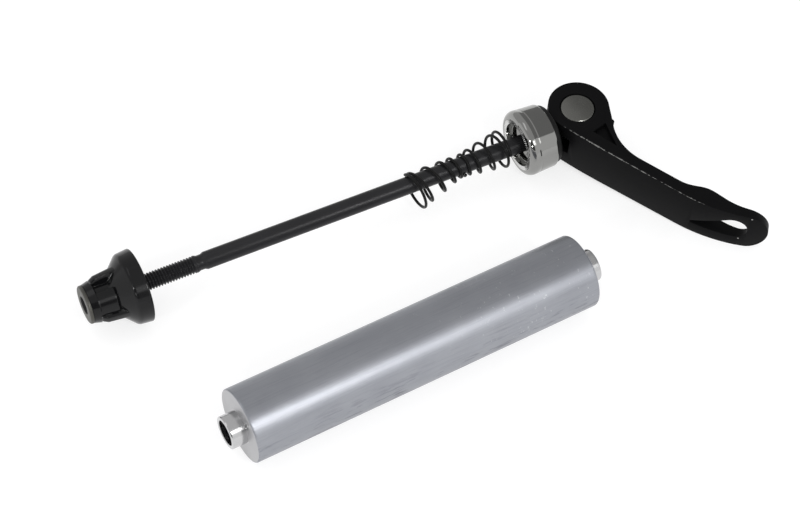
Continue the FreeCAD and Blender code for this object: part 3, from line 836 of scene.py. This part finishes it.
# A new shader group with its inputs' and outputs' names and kinds, and its first and last nodes
def shader_group(name, inputs, outputs):
    group = bpy.data.node_groups.new(name, "ShaderNodeTree")
    for label, kind in inputs.items():
        tree_input(group, label, kind)
    for label, kind in outputs.items():
        group.interface.new_socket(label, in_out="OUTPUT", socket_type=kind)
    return group, group.nodes.new("NodeGroupInput").outputs, group.nodes.new("NodeGroupOutput").inputs


def placed_group(tree, group, values):
    node = tree.nodes.new("ShaderNodeGroup")
    node.node_tree = group
    for name, value in values.items():
        feed(tree, node.inputs[name], value)
    return node.outputs


# Cloudy colour, cloudy gloss and fine grain, which every finish of the object has
def clouds_and_grain_group():
    inputs = {
        "Place": "NodeSocketVector",
        "Drawn place": "NodeSocketVector",
        "Dark": "NodeSocketColor",
        "Light": "NodeSocketColor",
        "Cloud scale": "NodeSocketFloat",
        "Grain scale": "NodeSocketFloat",
        "Least roughness": "NodeSocketFloat",
        "Roughness range": "NodeSocketFloat",
    }
    outputs = {"Colour": "NodeSocketColor", "Roughness": "NodeSocketFloat", "Grain": "NodeSocketFloat"}
    group, given, out = shader_group("Clouds and grain", inputs, outputs)
    clouds = noise_node(group, given["Place"], given["Cloud scale"], CLOUD_NOISE)
    grain = noise_node(group, given["Drawn place"], given["Grain scale"], GRAIN_NOISE)
    gloss = math_node(group, "MULTIPLY_ADD", grain, given["Roughness range"], given["Least roughness"])
    feed(group, out["Colour"], mix_node(group, "RGBA", clouds, given["Dark"], given["Light"]))
    feed(group, out["Roughness"], gloss)
    feed(group, out["Grain"], grain)
    return group


# A finish of the object, from its row in the list of finishes; turn lays its grain along the piece
def finish(group, turn, name, dark, light, rough, grain, bump, draw=(1, 1, 1), cloud=60.0, metallic=1.0,
           specular=0.5):
    material = bpy.data.materials.new(name)
    material.use_nodes = True
    tree = material.node_tree
    shader = tree.nodes["Principled BSDF"]
    place = tree.nodes.new("ShaderNodeTexCoord").outputs["Object"]
    surface = placed_group(tree, group, {
        "Place": place,
        "Drawn place": mapped(tree, place, turn, draw),
        "Dark": (*dark, 1),
        "Light": (*light, 1),
        "Cloud scale": cloud,
        "Grain scale": grain,
        "Least roughness": rough[0],
        "Roughness range": rough[1] - rough[0],
    })
    shader.inputs["Metallic"].default_value = metallic
    shader.inputs["Specular IOR Level"].default_value = specular
    tree.links.new(surface["Colour"], shader.inputs["Base Color"])
    tree.links.new(surface["Roughness"], shader.inputs["Roughness"])
    lift = tree.nodes.new("ShaderNodeBump")
    lift.inputs["Strength"].default_value = bump
    lift.inputs["Distance"].default_value = BUMP_DEPTH * MM
    tree.links.new(surface["Grain"], lift.inputs["Height"])
    tree.links.new(lift.outputs["Normal"], shader.inputs["Normal"])
    return material


# Lays another look over a material where a mask is 1
def over(material, mask, look):
    tree = material.node_tree
    shader = tree.nodes["Principled BSDF"]
    values = {"Base Color": (*look.colour, 1), "Metallic": look.metallic, "Roughness": look.rough}
    for name, value in values.items():
        kind = "RGBA" if name == "Base Color" else "FLOAT"
        was = shader.inputs[name]
        before = was.links[0].from_socket if was.is_linked else was.default_value
        tree.links.new(mix_node(tree, kind, mask, before, value), was)


def object_vector(material):
    return material.node_tree.nodes["Texture Coordinate"].outputs["Object"]


# Coordinates in millimetres in a piece's own frame
def local_vector(material, skewer, up, turn=0.0):
    tree = material.node_tree
    axes = own_axes(skewer.along, up) @ Matrix.Rotation(math.radians(turn), 3, "Z")
    local = tree.nodes.new("ShaderNodeMapping")
    local.vector_type = "TEXTURE"
    local.inputs["Location"].default_value = skewer.pin
    local.inputs["Rotation"].default_value = axes.to_euler()
    local.inputs["Scale"].default_value = (MM, MM, MM)
    tree.links.new(object_vector(material), local.inputs["Vector"])
    return local.outputs["Vector"]


# Square of x, times a factor
def scaled_square(tree, x, factor):
    return math_node(tree, "MULTIPLY", math_node(tree, "MULTIPLY", x, x), factor)


# Distance past the farther of the lever's bowed face and its top, at a place in the lever's own frame
def from_upper_front_edge(group, x, y, z):
    past = math_node(group, "SUBTRACT", x, FACE_MID)
    bow = scaled_square(group, math_node(group, "MINIMUM", past, 0.0), FACE_BOW)
    bend = scaled_square(group, math_node(group, "MAXIMUM", past, 0.0), FACE_BEND)
    face = math_node(group, "ADD", math_node(group, "ADD", bow, bend), FACE_Q)
    top = math_node(group, "SUBTRACT", TOP_Z, math_node(group, "MULTIPLY", x, TOP_FALL))
    from_face = math_node(group, "SUBTRACT", y, face)
    from_top = math_node(group, "SUBTRACT", top, z)
    return math_node(group, "MAXIMUM", from_face, from_top)


# Worn line with a painted highlight along the lever's upper front edge, broken up by noise, and its chips
# with painted glints, as one mask.
# The vector is in millimetres in the lever's own frame.
def wear_and_sheen_group():
    group, given, out = shader_group("Worn edge and painted sheen", {"Vector": "NodeSocketVector"}, {"Mask": "NodeSocketFloat"})
    vector = given["Vector"]
    x, y, z = split_vector(group, vector)
    noise = noise_node(group, vector, WEAR_AND_SHEEN_GRAIN, WEAR_AND_SHEEN_NOISE)
    reach = math_node(group, "MULTIPLY", math_node(group, "SUBTRACT", noise, WEAR_AND_SHEEN_LEVEL), WEAR_AND_SHEEN_REACH)
    inside_reach = math_node(group, "SUBTRACT", reach, from_upper_front_edge(group, x, y, z))
    edge = math_node(group, "MULTIPLY", inside_reach, WEAR_AND_SHEEN_SHARPNESS, clamp=True)
    after_start = math_node(group, "GREATER_THAN", x, WEAR_AND_SHEEN_SPAN[0])
    before_end = math_node(group, "LESS_THAN", x, WEAR_AND_SHEEN_SPAN[1])
    mask = math_node(group, "MULTIPLY", edge, math_node(group, "MULTIPLY", after_start, before_end))
    for spot in CHIPS_AND_GLINTS:
        gap = group.nodes.new("ShaderNodeVectorMath")
        gap.operation = "DISTANCE"
        feed(group, gap.inputs[0], vector)
        feed(group, gap.inputs[1], spot)
        chip_and_glint = math_node(group, "LESS_THAN", gap.outputs["Value"], CHIP_AND_GLINT_R)
        mask = math_node(group, "MAXIMUM", mask, chip_and_glint)
    feed(group, out["Mask"], mask)
    return group


# Lever's worn edge and chips, with their painted highlight and glints, laid over its black finish
def wear_and_sheen_lever(material, skewer):
    vector = local_vector(material, skewer, skewer.lever_axis, LEVER_TURN)
    wear_and_sheen = placed_group(material.node_tree, wear_and_sheen_group(), {"Vector": vector})
    over(material, wear_and_sheen["Mask"], WORN_METAL_AND_SHEEN)


# Painted shade: black inside the nut's bush, where its thread lies in shade
def paint_bore_shade(material, skewer):
    tree = material.node_tree
    split = split_vector(tree, local_vector(material, skewer, Vector((0, 0, 1))))
    flat = tree.nodes.new("ShaderNodeCombineXYZ")
    tree.links.new(split["Y"], flat.inputs["Y"])
    tree.links.new(split["Z"], flat.inputs["Z"])
    radius = tree.nodes.new("ShaderNodeVectorMath")
    radius.operation = "LENGTH"
    tree.links.new(flat.outputs[0], radius.inputs[0])
    over(material, math_node(tree, "LESS_THAN", radius.outputs["Value"], BUSH_BORE_R), PAINTED_BORE_SHADE)


# Mask of a pattern of marks, drawn out and cut off at a level
def marks_mask(tree, vector, marks):
    noise = noise_node(tree, mapped(tree, vector, (0, 0, 0), marks.draw), marks.scale, MARKS_NOISE)
    raised = math_node(tree, "SUBTRACT", noise, marks.level)
    shown = math_node(tree, "MULTIPLY", raised, marks.contrast, clamp=True)
    return math_node(tree, "MULTIPLY", shown, marks.amount)


# Marks on the sleeve: lengthwise brushing, darker patches on its lower side that grow stronger towards the
# bottom, scuffs towards its right end
def mark_sleeve(material):
    tree = material.node_tree
    vector = object_vector(material)
    split = split_vector(tree, vector)
    over(material, marks_mask(tree, vector, BRUSHING), BRUSHED_METAL)
    below = math_node(tree, "SUBTRACT", DARK_PATCHES_BELOW_Z * MM, split["Z"])
    low = math_node(tree, "MULTIPLY", below, DARK_PATCHES_FADE / MM, clamp=True)
    over(material, math_node(tree, "MULTIPLY", marks_mask(tree, vector, LOW_DARK_PATCHES), low), DARK_PATCH_METAL)
    beyond = math_node(tree, "SUBTRACT", split["X"], SCUFFS_FROM_X * MM)
    right = math_node(tree, "MULTIPLY", beyond, SCUFFS_FADE / MM, clamp=True)
    over(material, math_node(tree, "MULTIPLY", marks_mask(tree, vector, SCUFFS), right), SCUFFED_METAL)


# Faced shoulders and polished stubs at the sleeve's ends
def polish_stubs(material):
    tree = material.node_tree
    reach = math_node(tree, "ABSOLUTE", split_vector(tree, object_vector(material))["X"])
    over(material, math_node(tree, "GREATER_THAN", reach, END_FACE_X * MM), FACED_METAL)
    over(material, math_node(tree, "GREATER_THAN", reach, STUB_START_X * MM), POLISHED_STUB)


def make_finishes(skewer):
    group = clouds_and_grain_group()
    turns = {"rod": (0, 0, -math.atan2(skewer.along.y, skewer.along.x))}
    finishes = {key: finish(group, turns.get(key, (0, 0, 0)), **row) for key, row in FINISHES.items()}
    wear_and_sheen_lever(finishes["lever"], skewer)
    paint_bore_shade(finishes["insert"], skewer)
    mark_sleeve(finishes["sleeve"])
    polish_stubs(finishes["sleeve"])
    return finishes


# 1 for the rays that show the background: to the camera, in reflections and through clear things
def seen_rays(tree):
    path = tree.nodes.new("ShaderNodeLightPath")
    shown = math_node(tree, "MAXIMUM", path.outputs["Is Camera Ray"], path.outputs["Is Glossy Ray"])
    return math_node(tree, "MAXIMUM", shown, path.outputs["Is Transmission Ray"])


# A new material without its first shader
def bare_material(name):
    material = bpy.data.materials.new(name)
    material.use_nodes = True
    tree = material.node_tree
    tree.nodes.remove(tree.nodes["Principled BSDF"])
    return material, tree


# White table: bright to the camera and in reflections, plain to the object, and it keeps shadows
def table_finish():
    material, tree = bare_material("white table")
    seen = seen_rays(tree)
    matt = tree.nodes.new("ShaderNodeBsdfDiffuse")
    colour = mix_node(tree, "RGBA", seen, (*TABLE_COLOUR, 1), (*TABLE_SEEN_COLOUR, 1))
    tree.links.new(colour, matt.inputs["Color"])
    glow = tree.nodes.new("ShaderNodeEmission")
    tree.links.new(math_node(tree, "MULTIPLY", seen, TABLE_SEEN_GLOW), glow.inputs["Strength"])
    both = tree.nodes.new("ShaderNodeAddShader")
    tree.links.new(matt.outputs[0], both.inputs[0])
    tree.links.new(glow.outputs[0], both.inputs[1])
    tree.links.new(both.outputs[0], tree.nodes["Material Output"].inputs["Surface"])
    return material


def make_table():
    sides = (-TABLE_HALF, TABLE_HALF)
    corners = [Vector((x, y, FLOOR_Z)) * MM for y in sides for x in sides]
    mesh = bpy.data.meshes.new("table")
    mesh.from_pydata(corners, [], [(0, 1, 3, 2)])
    mesh.materials.append(table_finish())
    table = new_object("table", mesh)


# Room: plain grey light on the object, white to the camera
def make_world():
    world = bpy.data.worlds.new("studio")
    bpy.context.scene.world = world
    world.use_nodes = True
    tree = world.node_tree
    back = tree.nodes["Background"]
    back.inputs["Color"].default_value = (1, 1, 1, 1)
    extra = math_node(tree, "MULTIPLY", seen_rays(tree), 1 - ROOM_LIGHT)
    tree.links.new(math_node(tree, "ADD", extra, ROOM_LIGHT), back.inputs["Strength"])


def make_lights():
    for name, lamp in LAMPS.items():
        light = bpy.data.lights.new(name, "AREA")
        light.shape = "RECTANGLE"
        light.size, light.size_y = lamp.size[0] * MM, lamp.size[1] * MM
        light.energy = lamp.watts
        obj = new_object(name, light)
        obj.location = Vector(lamp.at) * MM
        heading = (Vector(lamp.aim) - Vector(lamp.at)).normalized()
        obj.rotation_euler = heading.to_track_quat("-Z", "Y").to_euler()


# Material that only glows, at a strength that may be a value or come from a node
def glow_finish(name):
    material, tree = bare_material(name)
    glow = tree.nodes.new("ShaderNodeEmission")
    tree.links.new(glow.outputs[0], tree.nodes["Material Output"].inputs["Surface"])
    return material, tree, glow.inputs["Strength"]


# Grey board's glow, which falls across a curved line, so that a straight edge shows in the cup
def board_finish():
    material, tree, strength = glow_finish("grey board")
    split = split_vector(tree, tree.nodes.new("ShaderNodeTexCoord").outputs["Object"])
    off = math_node(tree, "SUBTRACT", split["Y"], BOARD_MID * MM)
    curve = scaled_square(tree, off, BOARD_CURVE / MM)
    fade = tree.nodes.new("ShaderNodeMapRange")
    tree.links.new(math_node(tree, "SUBTRACT", split["X"], curve), fade.inputs["Value"])
    ends = [v * MM for v in BOARD_FADE] + list(BOARD_GLOW)
    for name, value in zip(("From Min", "From Max", "To Min", "To Max"), ends):
        fade.inputs[name].default_value = value
    tree.links.new(fade.outputs["Result"], strength)
    return material


def screen_finish():
    material, _, strength = glow_finish("dark screen")
    strength.default_value = SCREEN_GLOW
    return material


# A board that is seen only in reflections, between two places along X and through rows of (y, z)
def make_board(name, x_span, rows, material):
    corners = [Vector((x, y, z)) * MM for y, z in rows for x in x_span]
    faces = [(i, i + 1, i + 3, i + 2) for i in range(0, 2 * len(rows) - 2, 2)]
    mesh = bpy.data.meshes.new(name)
    mesh.from_pydata(corners, [], faces)
    mesh.materials.append(material)
    board = new_object(name, mesh)
    board.visible_camera = board.visible_diffuse = board.visible_shadow = board.visible_transmission = False


def make_boards():
    over_and_behind = ((BOARD_FRONT, BOARD_Z), (BOARD_BACK, BOARD_Z), (BOARD_BACK, FLOOR_Z))
    make_board("grey board", BOARD_X, over_and_behind, board_finish())
    make_board("dark screen", SCREEN_X, SCREEN_ROWS, screen_finish())


def make_camera():
    data = bpy.data.cameras.new("camera")
    data.lens = CAMERA_LENS
    data.sensor_width = CAMERA_SENSOR
    data.clip_start, data.clip_end = CAMERA_REACH[0] * MM, CAMERA_REACH[1] * MM
    camera = new_object("camera", data)
    heading = (CAMERA_LOOKS_AT - CAMERA_AT).normalized()
    level = heading.cross(Vector((0, 0, 1))).normalized()
    raised = level.cross(heading)
    roll = math.radians(CAMERA_ROLL)
    right = level * math.cos(roll) + raised * math.sin(roll)
    up = right.cross(heading)
    turn = Matrix((right, up, -heading)).transposed()
    camera.matrix_world = Matrix.Translation(CAMERA_AT * MM) @ turn.to_4x4()
    bpy.context.scene.camera = camera


def clear_scene():
    for obj in list(bpy.data.objects):
        bpy.data.objects.remove(obj)


def main():
    clear_scene()
    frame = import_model()
    nodes = frame["nodes"]
    skewer = find_skewer({joint["name"]: joint for joint in frame["joints"]})
    finishes = make_finishes(skewer)
    build_sleeve(finishes)
    build_rod(nodes, finishes, skewer)
    build_springs(finishes, skewer)
    build_cup(nodes, finishes, skewer)
    build_nut(nodes, finishes, skewer)
    build_eased_pieces(nodes, finishes)
    make_table()
    make_world()
    make_lights()
    make_boards()
    make_camera()
    bpy.context.scene.view_settings.view_transform = "Standard"


main()
